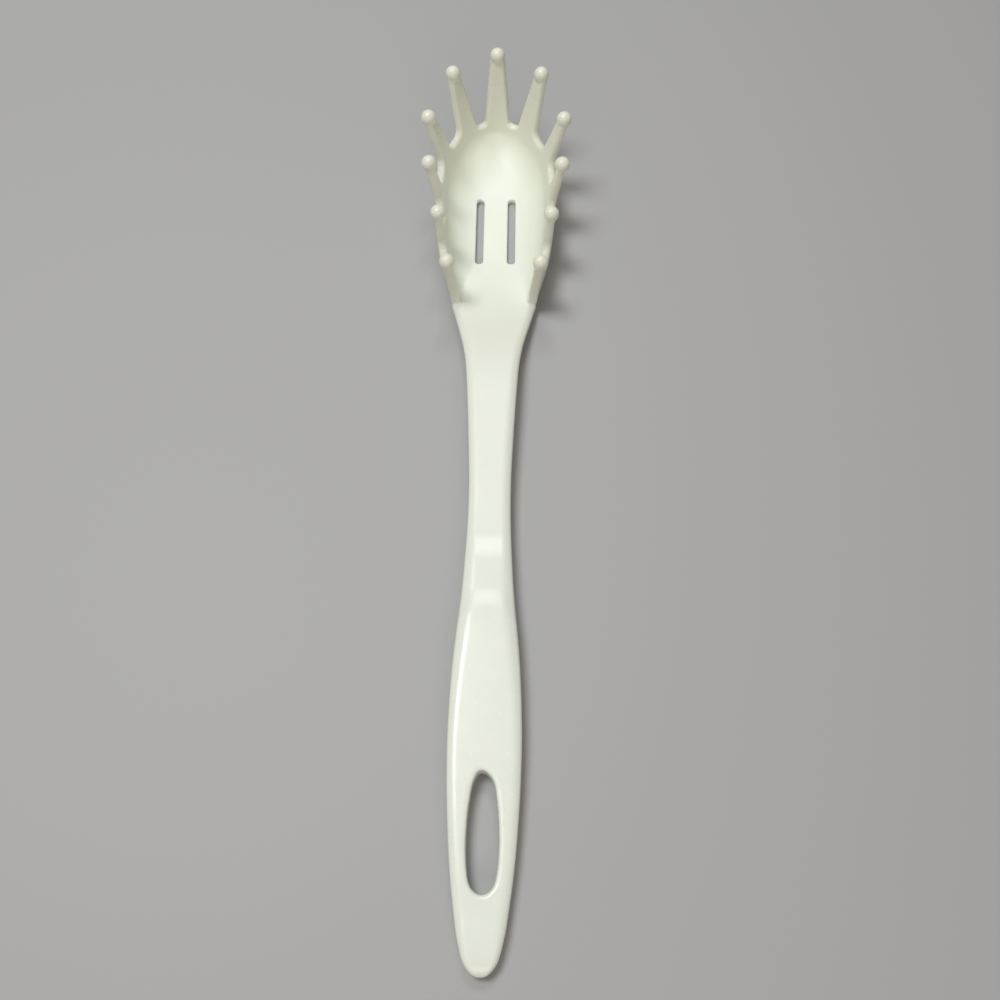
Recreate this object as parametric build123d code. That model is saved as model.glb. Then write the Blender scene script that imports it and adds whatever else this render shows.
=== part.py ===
from build123d import *
import math
import os

# A pasta server, moulded in one piece and lying on its back.
# The origin is on the flat under the bowl that it rests on, between the drain slots.
# +Y runs from the handle to the head, +X is to the right and +Z is up.
# Lengths are millimetres.

# Bowl
BOWL_HALF_WIDTH = 21.6
BOWL_FRONT_REACH = 34.5
BOWL_WIDEST_PLACE = 12.0
BOWL_BACK = 33.0
BOWL_DEPTH = 11.0
BOWL_CURVE_HEIGHT = BOWL_DEPTH * 1.45
BOWL_WALL = 3.3
FLOOR_THICKNESS = 2.2
BASE_HALF_WIDTH = 8.0
BASE_FRONT_REACH = 10.0
RAMP_START = 6.0
UNDERSIDE_START = 12.0

# Width of the side walls at the ends of three equal steps back from the widest place,
# and what is added to it down at the base, where the rear is squarer
RIM_SIDE_SHARES = (0.983, 0.925, 0.727)
BASE_SIDE_SHARES = (0.0, 0.12, 0.47)
CROWN_SIDE_SHARES = (0.855, 0.757, 0.67)
# Heights, as shares of the bowl's depth, at which its outline is drawn
LEVEL_SHARES = (0.0, 0.02, 0.08, 0.2, 0.4, 0.68, 1.0)

# Crown of tines
CROWN_HEIGHT = 31.0
CROWN_FLARE = 6.7
CROWN_HALF_WIDTH = BOWL_HALF_WIDTH + CROWN_FLARE
CROWN_ADVANCE = 5.5
CROWN_WIDEST_PLACE = BOWL_WIDEST_PLACE + CROWN_ADVANCE
CROWN_FRONT_FLARE = 2.1
CROWN_FRONT_REACH = BOWL_FRONT_REACH + CROWN_FRONT_FLARE
TINE_THICKNESS = 3.0
VALLEY_HEIGHT = 6.0
TINE_FOOT_RISE = 1.2
TINE_FOOT = VALLEY_HEIGHT + TINE_FOOT_RISE
TINE_ROOT_WIDTH = 9.6
TINE_TIP_WIDTH = 4.8
TIP_LINE_RISE = 20.6
TIP_LINE_HEIGHT = BOWL_DEPTH + TIP_LINE_RISE
TIP_LINE_ANGLE = 9.1
TIP_SWELL = 0.7
TIP_DIAMETER = TINE_TIP_WIDTH + TIP_SWELL
TINE_EDGE_ROUND = 1.1
VALLEY_ROUND = 3.2
VALLEY_ROUND_SHARE = 0.46
# Heights of the valleys between the tines, from the front one to the rear one
VALLEY_HEIGHT_SHARES = (0.5, 0.83, 1.0, 0.92, 0.8)
# Places of the tines from the front one to the rear one, along half the outline
TINE_ROOT_SHARES = (0.0, 0.145, 0.325, 0.54, 0.75, 0.962)
TINE_TIP_SHARES = (0.0, 0.189, 0.402, 0.585, 0.79, 0.985)

# Drain slots
SLOT_WIDTH = 2.9
SLOT_LENGTH = 30.6
SLOT_SPACING = 12.0
SLOT_PLACE = 2.2

# Handle
HANDLE_LENGTH = 222.1
GRIP_WIDTH = 22.5
NOSE_LENGTH = 14.8
NOSE_START = BOWL_BACK + HANDLE_LENGTH - NOSE_LENGTH
GRIP_START = BOWL_BACK + HANDLE_LENGTH * 0.528
NECK_RISE = 11.0
NECK_RISE_PLACE = BOWL_BACK + HANDLE_LENGTH * 0.176
WAIST_RISE = 9.2
WAIST_PLACE = BOWL_BACK + HANDLE_LENGTH * 0.402
SHOULDER_RISE = 10.4
SHOULDER_PLACE = BOWL_BACK + HANDLE_LENGTH * 0.546
END_RISE = 7.0
UNDERSIDE_RISE = 5.5
UNDERSIDE_RISE_PLACE = BOWL_BACK + HANDLE_LENGTH * 0.212
REST_CLEARANCE = 0.1
TENON_LENGTH = 7.0
NECK_BEVEL_WIDTH = 2.1
NECK_BEVEL_DROP = 1.3
SHOULDER_BEVEL_WIDTH = 3.0
SHOULDER_BEVEL_DROP = 1.6
GRIP_BEVEL_WIDTH = 1.8
GRIP_BEVEL_DROP = 1.1
CORNER_SHARE = 0.38
THROAT_KEEL_SHARE = 0.66
KEEL_SHARE = 0.15
ROUND_HANDLE_SHARE = 0.5523
STATIONS = 22
# Place along the handle up to its nose and width there, as a share of the grip's
HANDLE_SHARES = (
    (0.0, 1.378), (0.034, 1.213), (0.067, 1.058), (0.107, 0.902), (0.16, 0.8), (0.267, 0.69),
    (0.363, 0.628), (0.48, 0.68), (0.556, 0.775), (0.62, 0.89), (0.695, 0.975), (0.77, 1.0),
    (0.855, 0.95), (0.93, 0.845), (1.0, 0.676),
)
# Place along the nose, and width and thickness there, as shares of the nose's start
NOSE_SHARES = (
    (0.0, 1, 1), (0.26, 0.915, 1), (0.52, 0.79, 0.98), (0.75, 0.64, 0.9), (0.89, 0.45, 0.7),
    (0.96, 0.29, 0.48), (1, 0.12, 0.2),
)
TENON_SHARES = ((0, 1, 1), (0.5, 0.94, 0.75), (1, 0.8, 0.3))

# Hanging hole
HOLE_LENGTH = 34.0
HOLE_HALF_WIDTH = 4.8
HOLE_END_WALL = 21.2
HOLE_EDGE_ROUND = 0.9
# Half width and place of the hole's edge, from the end nearer the head
HOLE_SHARES = (
    (0, 0), (0.62, 0.09), (0.816, 0.225), (0.918, 0.344), (0.98, 0.479), (1, 0.6), (0.971, 0.72),
    (0.87, 0.85), (0.62, 0.95), (0, 1),
)

OVERRUN = 5.0


def blend(start, end, share):
    return start + (end - start) * share


def ease(start, end, share):
    share = min(max(share, 0), 1)
    return blend(start, end, share * share * (3 - 2 * share))


# Heights of the top of the floor, neck and grip, and of the underside

def top_rise(back):
    if back < NECK_RISE_PLACE:
        run = (back - RAMP_START) / (NECK_RISE_PLACE - RAMP_START)
        return ease(FLOOR_THICKNESS, NECK_RISE, run)
    if back < WAIST_PLACE:
        run = (back - NECK_RISE_PLACE) / (WAIST_PLACE - NECK_RISE_PLACE)
        return ease(NECK_RISE, WAIST_RISE, run)
    if back < SHOULDER_PLACE:
        run = (back - WAIST_PLACE) / (SHOULDER_PLACE - WAIST_PLACE)
        return ease(WAIST_RISE, SHOULDER_RISE, run)
    run = (back - SHOULDER_PLACE) / (NOSE_START - SHOULDER_PLACE)
    return blend(SHOULDER_RISE, END_RISE, run)


def underside_rise(back):
    if back < UNDERSIDE_RISE_PLACE:
        run = (back - UNDERSIDE_START) / (UNDERSIDE_RISE_PLACE - UNDERSIDE_START)
        return ease(0, UNDERSIDE_RISE, run)
    run = (back - UNDERSIDE_RISE_PLACE) / (NOSE_START - UNDERSIDE_RISE_PLACE)
    return blend(UNDERSIDE_RISE, REST_CLEARANCE, run)


# Outlines of the head, seen from above

def half_outline(height, half_width, front_reach, widest, side_shares, inset):
    step = (widest + BOWL_BACK) / len(side_shares)
    sides = [
        Vector(half_width * share - inset, widest - step * (n + 1), height)
        for n, share in enumerate(side_shares)
    ]
    leaving = sides[-1] - sides[-2]
    front = EllipticalCenterArc(
        (0, widest, height), half_width - inset, front_reach - inset, start_angle=90, arc_size=-90
    )
    side = Spline(Vector(half_width - inset, widest, height), *sides, tangents=[(0, -1, 0), leaving])
    return [front, side]


def rim_line(inset):
    return half_outline(
        BOWL_DEPTH, BOWL_HALF_WIDTH, BOWL_FRONT_REACH, BOWL_WIDEST_PLACE, RIM_SIDE_SHARES, inset
    )


def crown_line(inset):
    return half_outline(
        BOWL_DEPTH + CROWN_HEIGHT,
        CROWN_HALF_WIDTH,
        CROWN_FRONT_REACH,
        CROWN_WIDEST_PLACE,
        CROWN_SIDE_SHARES,
        inset,
    )


def level_face(right):
    left = [mirror(edge, Plane.YZ) for edge in right]
    back = Line(right[-1] @ 1, left[-1] @ 1)
    return Face(Wire([edge.edge() for edge in [*right, *left, back]]))


def curved_share(height):
    rise = min(height / BOWL_CURVE_HEIGHT, 1)
    return math.sqrt(1 - (1 - rise) ** 2)


def bowl_loft(inset, floor):
    full = curved_share(BOWL_DEPTH)
    faces = []
    for level_share in LEVEL_SHARES:
        height = blend(floor, BOWL_DEPTH, level_share)
        swell = curved_share(level_share * BOWL_DEPTH) / full
        side_shares = [
            rim + base * (1 - swell) for rim, base in zip(RIM_SIDE_SHARES, BASE_SIDE_SHARES)
        ]
        faces.append(level_face(half_outline(
            height,
            blend(BASE_HALF_WIDTH, BOWL_HALF_WIDTH, swell),
            blend(BASE_FRONT_REACH, BOWL_FRONT_REACH, swell),
            BOWL_WIDEST_PLACE,
            side_shares,
            inset,
        )))
    return loft(faces)


def crown_loft(inset_low, inset_high):
    return loft([level_face(rim_line(inset_low)), level_face(crown_line(inset_high))], ruled=True)


def side_cut(points, half_width):
    outline = Face(Wire([edge.edge() for edge in points]))
    return extrude(outline, half_width, dir=(1, 0, 0), both=True)


def rear_curve(rise, start, stop, steps=5):
    return Spline([
        Vector(0, -place, rise(place))
        for place in [blend(start, stop, n / steps) for n in range(steps + 1)]
    ])


# Space under the sloping floor, which joins the bowl to the neck, and under the bowl

def ramp():
    curve = rear_curve(top_rise, RAMP_START, BOWL_BACK + OVERRUN)
    low = Vector(0, 0, -OVERRUN)
    drop = Line(curve @ 1, Vector(0, (curve @ 1).Y, low.Z))
    base = Line(drop @ 1, Vector(0, (curve @ 0).Y, low.Z))
    rise = Line(base @ 1, curve @ 0)
    return side_cut([curve, drop, base, rise], BOWL_HALF_WIDTH + OVERRUN)


def underside():
    curve = rear_curve(underside_rise, UNDERSIDE_START, BOWL_BACK + OVERRUN)
    drop = Line(curve @ 1, Vector(0, (curve @ 1).Y, -OVERRUN))
    base = Line(drop @ 1, Vector(0, (curve @ 0).Y, -OVERRUN))
    rise = Line(base @ 1, curve @ 0)
    return side_cut([curve, drop, base, rise], BOWL_HALF_WIDTH + OVERRUN)


# Crown of tines

def crown_lines():
    roots = Wire([edge.edge() for edge in rim_line(BOWL_WALL / 2)])
    tops = Wire([edge.edge() for edge in crown_line(TINE_THICKNESS / 2)])
    slope = math.tan(math.radians(TIP_LINE_ANGLE))
    lines = []
    for root_share, tip_share in zip(TINE_ROOT_SHARES, TINE_TIP_SHARES):
        root = roots.position_at(root_share)
        rise = tops.position_at(tip_share) - root
        reach = (TIP_LINE_HEIGHT + slope * root.Y - root.Z) / (rise.Z - slope * rise.Y)
        lines.append((root, root + rise * reach))
    return lines


def gap_cutter(first, second, height_share):
    (root_a, tip_a), (root_b, tip_b) = first, second
    across = Vector(root_b.X - root_a.X, root_b.Y - root_a.Y, 0).normalized()
    valley = BOWL_DEPTH + VALLEY_HEIGHT * height_share
    top = BOWL_DEPTH + CROWN_HEIGHT + OVERRUN

    def along(point):
        return (point - root_a).dot(across)

    def edge_at(root, tip, side, height):
        low = along(root) + side * TINE_ROOT_WIDTH / 2
        high = along(tip) + side * TINE_TIP_WIDTH / 2
        return blend(low, high, (height - BOWL_DEPTH) / (tip.Z - BOWL_DEPTH))

    low_a, high_a = [edge_at(root_a, tip_a, 1, height) for height in (valley, top)]
    low_b, high_b = [edge_at(root_b, tip_b, -1, height) for height in (valley, top)]
    corners = [(low_a, valley), (low_b, valley), (high_b, top), (high_a, top)]
    outline = make_face(Polyline(*corners, close=True))
    bottom = outline.vertices().sort_by(Axis.Y)[:2]
    outline = fillet(bottom, min(VALLEY_ROUND, (low_b - low_a) * VALLEY_ROUND_SHARE))
    plane = Plane(
        origin=(root_a.X, root_a.Y, 0), x_dir=across, z_dir=across.cross(Vector(0, 0, 1))
    )
    return extrude(plane * outline, CROWN_HEIGHT / 2, both=True)


def crown():
    tip_plane = Plane((0, 0, TIP_LINE_HEIGHT)).rotated((TIP_LINE_ANGLE, 0, 0))

    def below_tips(shape):
        return -tip_plane.to_local_coords(shape.center()).Z

    wall = crown_loft(0, 0) - crown_loft(BOWL_WALL, TINE_THICKNESS)
    wall = split(wall, tip_plane, Keep.BOTTOM)
    lines = crown_lines()
    gaps = [gap_cutter(*pair) for pair in zip(lines, lines[1:], VALLEY_HEIGHT_SHARES)]
    gaps += [mirror(gap, Plane.YZ) for gap in gaps]
    tines = wall - gaps
    edges = new_edges(wall, *gaps, combined=tines)
    tines = fillet([edge for edge in edges if below_tips(edge) > TINE_EDGE_ROUND], TINE_EDGE_ROUND)
    tops = [face for face in tines.faces() if below_tips(face) < TINE_EDGE_ROUND]
    knobs = [Pos(top.center()) * Sphere(TIP_DIAMETER / 2) for top in tops]
    return tines + knobs


# Handle

def bevel_at(back, neck, shoulder, grip):
    if back < GRIP_START:
        return ease(neck, shoulder, (back - WAIST_PLACE) / (GRIP_START - WAIST_PLACE))
    return ease(shoulder, grip, (back - GRIP_START) / (NOSE_START - GRIP_START) * 2)


def handle_section(back, half, top, bottom, bevel, drop, keel):
    def at(x, z):
        return Vector(x, -back, z)

    flat_end = at(half - bevel, top)
    side = at(half, top - drop)
    slope = side - flat_end
    corner = slope.length * CORNER_SHARE
    flat_stop = at(flat_end.X - corner, top)
    bevel_start = flat_end + slope * CORNER_SHARE
    bevel_stop = side - slope * CORNER_SHARE
    belly_start = at(half, side.Z - corner)
    belly_end = at(keel, bottom)
    pull_down = at(half, blend(belly_start.Z, bottom, ROUND_HANDLE_SHARE))
    pull_out = at(blend(keel, half, ROUND_HANDLE_SHARE), bottom)
    right = [
        Bezier(flat_stop, flat_end, bevel_start),
        Line(bevel_start, bevel_stop),
        Bezier(bevel_stop, side, belly_start),
        Bezier(belly_start, pull_down, pull_out, belly_end),
    ]
    left = [mirror(edge, Plane.YZ) for edge in reversed(right)]
    under = Line(belly_end, at(-keel, bottom))
    over = Line(at(-flat_stop.X, top), flat_stop)
    return Face(Wire([edge.edge() for edge in [*right, under, *left, over]]))


def keel_share(back):
    run = (back - BOWL_BACK) / (UNDERSIDE_RISE_PLACE - BOWL_BACK)
    return ease(THROAT_KEEL_SHARE, KEEL_SHARE, run)


def station(back, half, scale=1.0, squash=1.0):
    level = min(back, NOSE_START)
    top, bottom = top_rise(level), underside_rise(level)
    middle = (top + bottom) / 2
    return handle_section(
        back,
        half,
        blend(middle, top, squash),
        blend(middle, bottom, squash),
        bevel_at(back, NECK_BEVEL_WIDTH, SHOULDER_BEVEL_WIDTH, GRIP_BEVEL_WIDTH) * scale,
        bevel_at(back, NECK_BEVEL_DROP, SHOULDER_BEVEL_DROP, GRIP_BEVEL_DROP) * squash,
        keel_share(back) * half,
    )


def half_width_line():
    return Spline([
        Vector(blend(BOWL_BACK, NOSE_START, place_share), GRIP_WIDTH / 2 * width_share)
        for place_share, width_share in HANDLE_SHARES
    ])


def handle():
    line = half_width_line()
    points = [line.position_at(n / STATIONS) for n in range(STATIONS)]
    sections = [station(point.X, point.Y) for point in points]
    nose_half = (line @ 1).Y
    for place_share, width_share, squash_share in NOSE_SHARES:
        back = NOSE_START + NOSE_LENGTH * place_share
        sections.append(station(back, nose_half * width_share, width_share, squash_share))
    return loft(sections)


def tenon():
    throat_half = (half_width_line() @ 0).Y
    sections = []
    for place_share, width_share, squash_share in TENON_SHARES:
        back = BOWL_BACK - TENON_LENGTH * place_share
        sections.append(station(back, throat_half * width_share, width_share, squash_share))
    return loft(sections)


def hanging_hole():
    near_end = HOLE_LENGTH + HOLE_END_WALL - HANDLE_LENGTH - BOWL_BACK
    right = [
        Vector(HOLE_HALF_WIDTH * width_share, near_end - HOLE_LENGTH * place_share, 0)
        for width_share, place_share in HOLE_SHARES
    ]
    left = [Vector(-point.X, point.Y, 0) for point in reversed(right[1:-1])]
    outline = Face(Wire([Spline(right + left, periodic=True).edge()]))
    return extrude(outline, NECK_RISE + OVERRUN, both=True)


def grip_and_neck():
    body = handle()
    cut = Plane((0, -GRIP_START, 0), z_dir=(0, 1, 0))
    neck = split(body, cut, Keep.TOP)
    grip = split(body, cut, Keep.BOTTOM)
    hole = hanging_hole()
    holed = grip - hole
    grip = fillet(new_edges(grip, hole, combined=holed), HOLE_EDGE_ROUND)
    return grip, neck


def drain_slots():
    slot = Rot(0, 0, 90) * SlotOverall(SLOT_LENGTH, SLOT_WIDTH)
    return [
        extrude(Pos(side * SLOT_SPACING / 2, SLOT_PLACE, 0) * slot, BOWL_DEPTH, both=True)
        for side in (-1, 1)
    ]


def bowl_and_tines():
    outer = bowl_loft(0, 0)
    body = outer - underside() + tenon()
    body -= bowl_loft(BOWL_WALL, FLOOR_THICKNESS)
    body += (outer & ramp()) - underside()
    body -= drain_slots()
    foot = Plane((0, 0, BOWL_DEPTH + TINE_FOOT))
    whole_crown = crown()
    bowl = body + split(whole_crown, foot, Keep.BOTTOM)
    tines = split(whole_crown, foot, Keep.TOP).solids()
    return bowl, tines


def tine_names(tines):
    named = {}
    front = max(tines, key=lambda tine: tine.center().Y)
    named["tine_front"] = front
    for side_name, side in (("left", -1), ("right", 1)):
        row = [t for t in tines if t is not front and t.center().X * side > 0]
        row.sort(key=lambda tine: -tine.center().Y)
        for n, tine in enumerate(row, start=1):
            named[f"tine_{side_name}_{n}"] = tine
    return named


def build():
    grip, neck = grip_and_neck()
    bowl, tines = bowl_and_tines()
    nodes = {"grip": grip, "neck": neck, "bowl": bowl, **tine_names(tines)}
    os.makedirs("parts", exist_ok=True)
    for name, shape in nodes.items():
        export_step(shape, f"parts/{name}.step")
        print(name, round(shape.volume, 1), len(shape.solids()))


build()
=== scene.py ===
import math

import bmesh
import bpy
from mathutils import Matrix, Vector


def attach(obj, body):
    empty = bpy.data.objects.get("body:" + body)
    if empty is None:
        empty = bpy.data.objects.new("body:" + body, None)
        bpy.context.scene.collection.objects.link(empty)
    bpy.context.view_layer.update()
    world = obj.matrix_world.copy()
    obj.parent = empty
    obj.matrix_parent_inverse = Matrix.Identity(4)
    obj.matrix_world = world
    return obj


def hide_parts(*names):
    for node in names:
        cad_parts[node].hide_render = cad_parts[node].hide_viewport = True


# A pasta server on a pale table, seen from above and behind its handle.
# Lengths are metres, in the frame of the solids.

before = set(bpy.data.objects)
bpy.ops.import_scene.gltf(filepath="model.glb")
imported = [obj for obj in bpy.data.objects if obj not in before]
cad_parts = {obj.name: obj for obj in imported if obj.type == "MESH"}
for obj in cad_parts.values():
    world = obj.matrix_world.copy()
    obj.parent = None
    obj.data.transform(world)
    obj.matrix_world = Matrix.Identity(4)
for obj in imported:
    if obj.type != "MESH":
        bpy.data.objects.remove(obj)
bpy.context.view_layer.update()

# Camera, as the photograph was taken

LENS = 36.07
CAMERA_PLACE = Vector((0.0055, -0.247, 0.310))
CAMERA_PITCH = 66.0
CAMERA_TURN = 0.88
NEAREST_SEEN = 0.01

# Table and lights

TABLE_SIZE = 3.0
TABLE_COLOUR = (0.39, 0.39, 0.40, 1.0)
TABLE_ROUGHNESS = 0.6
SKY_COLOUR = (1.0, 0.93, 0.82, 1.0)
SKY_STRENGTH = 0.22
BACKDROP_COLOUR = (0.37, 0.37, 0.375, 1.0)
DAYLIGHT = (0.98, 1.0, 0.98)
WARM_LIGHT = (1.0, 0.92, 0.83)
# Place, width, height, power and colour of each lamp: a ceiling lamp that casts the
# shadows, a broad window high behind the head, and a fill from the handle's end
LAMPS = {
    "ceiling": ((-0.30, 0.00, 1.0), 0.28, 0.34, 5.7, DAYLIGHT),
    "window": ((-0.05, 0.94, 1.6), 0.6, 0.36, 6.6, DAYLIGHT),
    "fill": ((0.1, -1.2, 0.8), 1.0, 0.6, 4.4, WARM_LIGHT),
}
LAMP_TARGET = Vector((0.0, -0.08, 0.0))

# Skin over the solids

VOXEL = 0.0004
SMOOTH_STEPS = 4
SMOOTH_FACTOR = 0.5
WELD_DISTANCE = 0.00001
MOST_TRIANGLES = 190_000

# The shoulder rises to the grip in two soft steps, the second one arched across
# the handle, where the solids rise evenly

SHOULDER_START = -0.122
SHOULDER_END = -0.1543
SHOULDER_RISE = 0.0012
STEPS = ((-0.1245, -0.134, 0.0), (-0.1425, -0.151, 60.0))
STEP_SHARES = (0.5, 0.5)
# The steps fade out between these heights, above the underside of the handle
STEP_FADE = (0.0045, 0.007)

# Plastic

PLASTIC_COLOUR = (0.80, 0.84, 0.785, 1.0)
# A darker, warmer ivory: painted shade on the head's walls and tines, and the faint random
# cloud
CLOUD_AND_SHADE_COLOUR = (0.765, 0.78, 0.675, 1.0)
CLOUD_SCALE = 38.0
CLOUD_DETAIL = 3.0
CLOUD_RANGE = (0.0, 0.3)
PAINTED_SHADE_SHARE = 0.7
# Along the handle the painted shade starts at the head and the wear at the neck. Above the
# table the painted shade grows up the walls and the wear ends below the tips.
PAINTED_SHADE_START = (-0.068, -0.048)
PAINTED_SHADE_RISE = (0.0025, 0.013)
WEAR_START = (-0.124, -0.104)
WEAR_END = (0.020, 0.030)
WORN_ROUGHNESS = 0.17
ROUGHNESS_RANGE = (0.23, 0.30)
ROUGHNESS_SCALE = 210.0
ROUGHNESS_DETAIL = 4.0
GRAIN_SCALE = 2600.0
GRAIN_DETAIL = 2.0
GRAIN_HEIGHT = 0.000002
RIPPLE_SCALE = 95.0
RIPPLE_DETAIL = 1.0
RIPPLE_HEIGHT = 0.00005
REFRACTION = 1.49
GLOW_WEIGHT = 0.15
GLOW_RADIUS = (1.0, 0.7, 0.35)
GLOW_SCALE = 0.003


def set_camera():
    camera = bpy.data.objects.new("camera", bpy.data.cameras.new("camera"))
    bpy.context.scene.collection.objects.link(camera)
    camera.data.lens = LENS
    camera.data.clip_start = NEAREST_SEEN
    camera.location = CAMERA_PLACE
    turn = Matrix.Rotation(math.radians(CAMERA_TURN), 4, "Z")
    tilt = Matrix.Rotation(math.radians(90 - CAMERA_PITCH), 4, "X")
    camera.rotation_euler = (turn @ tilt).to_euler()
    bpy.context.scene.camera = camera


def make_floor():
    bpy.ops.mesh.primitive_plane_add(size=TABLE_SIZE)
    floor = bpy.context.active_object
    floor.name = "table"
    material = bpy.data.materials.new("table")
    material.use_nodes = True
    shader = material.node_tree.nodes["Principled BSDF"]
    shader.inputs["Base Color"].default_value = TABLE_COLOUR
    shader.inputs["Roughness"].default_value = TABLE_ROUGHNESS
    floor.data.materials.append(material)


def set_world():
    world = bpy.data.worlds.new("studio")
    bpy.context.scene.world = world
    world.use_nodes = True
    nodes, links = world.node_tree.nodes, world.node_tree.links
    sky = nodes["Background"]
    sky.inputs["Color"].default_value = SKY_COLOUR
    sky.inputs["Strength"].default_value = SKY_STRENGTH
    backdrop = nodes.new("ShaderNodeBackground")
    backdrop.inputs["Color"].default_value = BACKDROP_COLOUR
    rays = nodes.new("ShaderNodeLightPath").outputs
    seen = add_maths(nodes, links, "ADD", rays["Is Camera Ray"], rays["Is Glossy Ray"])
    seen = add_maths(nodes, links, "ADD", seen, rays["Is Transmission Ray"])
    either = nodes.new("ShaderNodeMixShader")
    links.new(seen, either.inputs["Fac"])
    links.new(sky.outputs["Background"], either.inputs[1])
    links.new(backdrop.outputs["Background"], either.inputs[2])
    links.new(either.outputs["Shader"], nodes["World Output"].inputs["Surface"])


def set_lights():
    for name, (place, width, height, power, colour) in LAMPS.items():
        lamp = bpy.data.objects.new(name, bpy.data.lights.new(name, "AREA"))
        bpy.context.scene.collection.objects.link(lamp)
        lamp.data.shape = "RECTANGLE"
        lamp.data.size = width
        lamp.data.size_y = height
        lamp.data.energy = power
        lamp.data.color = colour
        lamp.location = place
        aim = LAMP_TARGET - Vector(place)
        lamp.rotation_euler = aim.to_track_quat("-Z", "Y").to_euler()


# The server is one moulding, so its regions are made into one seamless skin

def joined_copy(nodes):
    whole = bmesh.new()
    for node in nodes:
        whole.from_mesh(node.data)
    bmesh.ops.remove_doubles(whole, verts=whole.verts, dist=WELD_DISTANCE)
    mesh = bpy.data.meshes.new("server")
    whole.to_mesh(mesh)
    whole.free()
    server = bpy.data.objects.new("server", mesh)
    bpy.context.scene.collection.objects.link(server)
    return server


def apply_modifier(piece, kind, **settings):
    modifier = piece.modifiers.new(kind.lower(), kind)
    for name, value in settings.items():
        setattr(modifier, name, value)
    with bpy.context.temp_override(object=piece, active_object=piece):
        bpy.ops.object.modifier_apply(modifier=modifier.name)


def outer_skin(piece):
    skin = bmesh.new()
    skin.from_mesh(piece.data)
    seen = set()
    shells = []
    for start in skin.verts:
        if start in seen:
            continue
        seen.add(start)
        shell = [start]
        for vertex in shell:
            for edge in vertex.link_edges:
                other = edge.other_vert(vertex)
                if other not in seen:
                    seen.add(other)
                    shell.append(other)
        shells.append(shell)
    shells.sort(key=len)
    inner = [vertex for shell in shells[:-1] for vertex in shell]
    bmesh.ops.delete(skin, geom=inner, context="VERTS")
    skin.to_mesh(piece.data)
    skin.free()


def smooth_run(value, start, end):
    share = min(max((value - start) / (end - start), 0), 1)
    return share * share * (3 - 2 * share)


def step_shoulder(piece):
    for vertex in piece.data.vertices:
        place = vertex.co
        if not SHOULDER_END < place.y < SHOULDER_START:
            continue
        even = smooth_run(place.y, SHOULDER_START, SHOULDER_END)
        stepped = sum(
            share * smooth_run(place.y + arch * place.x ** 2, start, end)
            for share, (start, end, arch) in zip(STEP_SHARES, STEPS)
        )
        place.z += SHOULDER_RISE * (stepped - even) * smooth_run(place.z, *STEP_FADE)


def make_server():
    server = joined_copy(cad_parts.values())
    apply_modifier(server, "REMESH", mode="VOXEL", voxel_size=VOXEL)
    outer_skin(server)
    apply_modifier(server, "SMOOTH", factor=SMOOTH_FACTOR, iterations=SMOOTH_STEPS)
    step_shoulder(server)
    triangles = 2 * len(server.data.polygons)
    apply_modifier(server, "DECIMATE", ratio=min(1.0, MOST_TRIANGLES / triangles))
    server.data.shade_smooth()
    return server


# Plastic: ivory, faintly cloudy, with a fine grain and the slow ripple of a moulding,
# with painted shade darker and warmer on the head's walls and tines, and worn duller on the
# neck and bowl

def add_noise(nodes, links, place, scale, detail):
    noise = nodes.new("ShaderNodeTexNoise")
    noise.inputs["Scale"].default_value = scale
    noise.inputs["Detail"].default_value = detail
    links.new(place, noise.inputs["Vector"])
    return noise.outputs["Fac"]


def add_range(nodes, links, value, low, high, start=0.0, end=1.0):
    span = nodes.new("ShaderNodeMapRange")
    span.inputs["From Min"].default_value = start
    span.inputs["From Max"].default_value = end
    span.inputs["To Min"].default_value = low
    span.inputs["To Max"].default_value = high
    links.new(value, span.inputs["Value"])
    return span.outputs["Result"]


def add_maths(nodes, links, operation, *values):
    maths = nodes.new("ShaderNodeMath")
    maths.operation = operation
    for socket, value in zip(maths.inputs, values):
        if isinstance(value, float):
            socket.default_value = value
        else:
            links.new(value, socket)
    return maths.outputs["Value"]


def add_bump(nodes, links, height, distance, normal=None):
    bump = nodes.new("ShaderNodeBump")
    bump.inputs["Distance"].default_value = distance
    links.new(height, bump.inputs["Height"])
    if normal:
        links.new(normal, bump.inputs["Normal"])
    return bump.outputs["Normal"]


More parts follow.
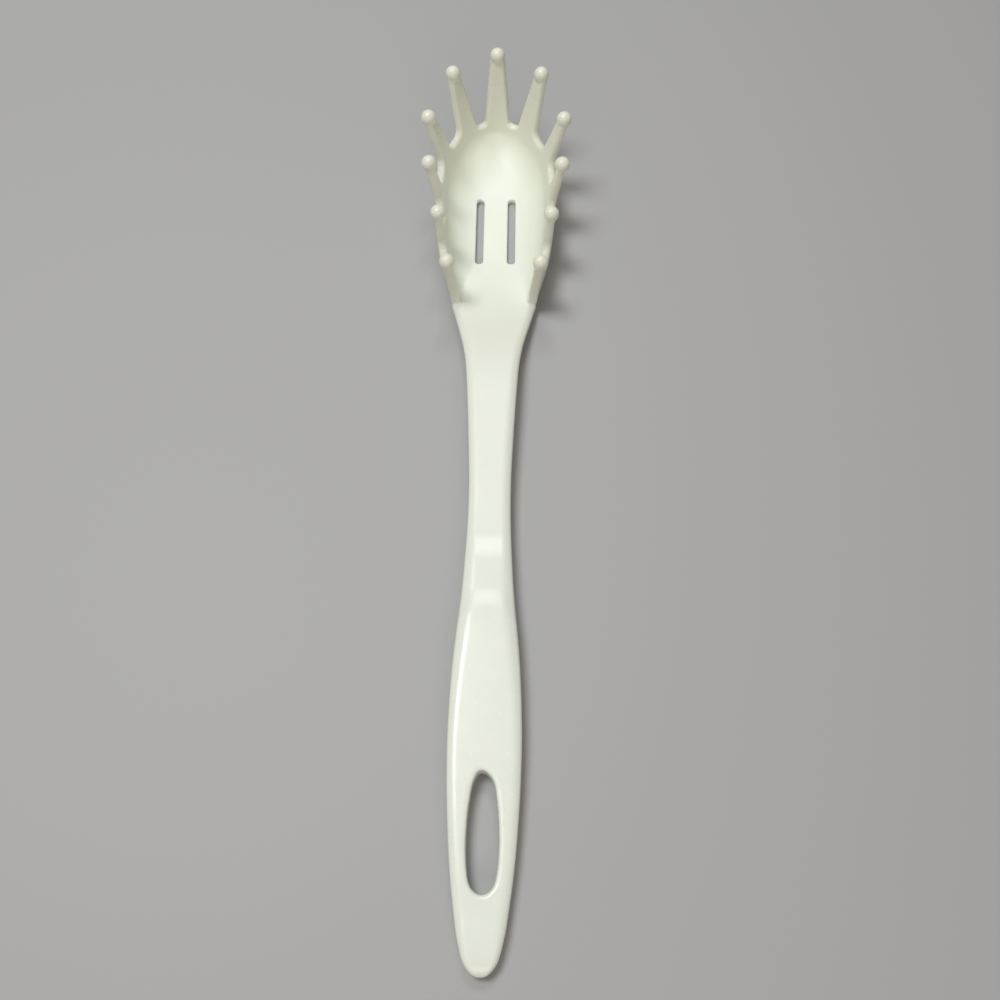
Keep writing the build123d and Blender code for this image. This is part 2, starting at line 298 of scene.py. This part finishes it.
def make_plastic():
    material = bpy.data.materials.new("ivory_plastic")
    material.use_nodes = True
    nodes, links = material.node_tree.nodes, material.node_tree.links
    shader = nodes["Principled BSDF"]
    place = nodes.new("ShaderNodeTexCoord").outputs["Object"]

    axes = nodes.new("ShaderNodeSeparateXYZ")
    links.new(place, axes.inputs["Vector"])
    along, above = axes.outputs["Y"], axes.outputs["Z"]
    # Painted shade: the head's walls and tines darker and warmer, rising from the bowl's
    # floor up the walls
    head = add_range(nodes, links, along, 0.0, 1.0, *PAINTED_SHADE_START)
    wall = add_range(nodes, links, above, 0.0, 1.0, *PAINTED_SHADE_RISE)
    painted_shade = add_maths(nodes, links, "MULTIPLY", head, wall)
    front = add_range(nodes, links, along, 0.0, 1.0, *WEAR_START)
    low = add_range(nodes, links, above, 1.0, 0.0, *WEAR_END)
    worn = add_maths(nodes, links, "MULTIPLY", front, low)

    cloud = add_noise(nodes, links, place, CLOUD_SCALE, CLOUD_DETAIL)
    cloud = add_range(nodes, links, cloud, *CLOUD_RANGE)
    colour = nodes.new("ShaderNodeMix")
    colour.data_type = "RGBA"
    colour.inputs["A"].default_value = PLASTIC_COLOUR
    colour.inputs["B"].default_value = CLOUD_AND_SHADE_COLOUR
    # The mix towards the darker tone is the painted shade plus the random cloud
    shade_and_cloud = add_maths(nodes, links, "MULTIPLY_ADD", painted_shade, PAINTED_SHADE_SHARE, cloud)
    links.new(shade_and_cloud, colour.inputs["Factor"])
    links.new(colour.outputs["Result"], shader.inputs["Base Color"])

    gloss = add_noise(nodes, links, place, ROUGHNESS_SCALE, ROUGHNESS_DETAIL)
    gloss = add_range(nodes, links, gloss, *ROUGHNESS_RANGE)
    roughness = add_maths(nodes, links, "MULTIPLY_ADD", worn, WORN_ROUGHNESS, gloss)
    links.new(roughness, shader.inputs["Roughness"])

    ripple = add_noise(nodes, links, place, RIPPLE_SCALE, RIPPLE_DETAIL)
    grain = add_noise(nodes, links, place, GRAIN_SCALE, GRAIN_DETAIL)
    rippled = add_bump(nodes, links, ripple, RIPPLE_HEIGHT)
    links.new(add_bump(nodes, links, grain, GRAIN_HEIGHT, rippled), shader.inputs["Normal"])

    shader.inputs["IOR"].default_value = REFRACTION
    shader.inputs["Subsurface Weight"].default_value = GLOW_WEIGHT
    shader.inputs["Subsurface Radius"].default_value = GLOW_RADIUS
    shader.inputs["Subsurface Scale"].default_value = GLOW_SCALE
    return material


def main():
    bpy.context.scene.view_settings.view_transform = "Standard"
    set_camera()
    make_floor()
    set_world()
    set_lights()
    server = make_server()
    server.data.materials.clear()
    server.data.materials.append(make_plastic())
    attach(server, "root")
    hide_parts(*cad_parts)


main()
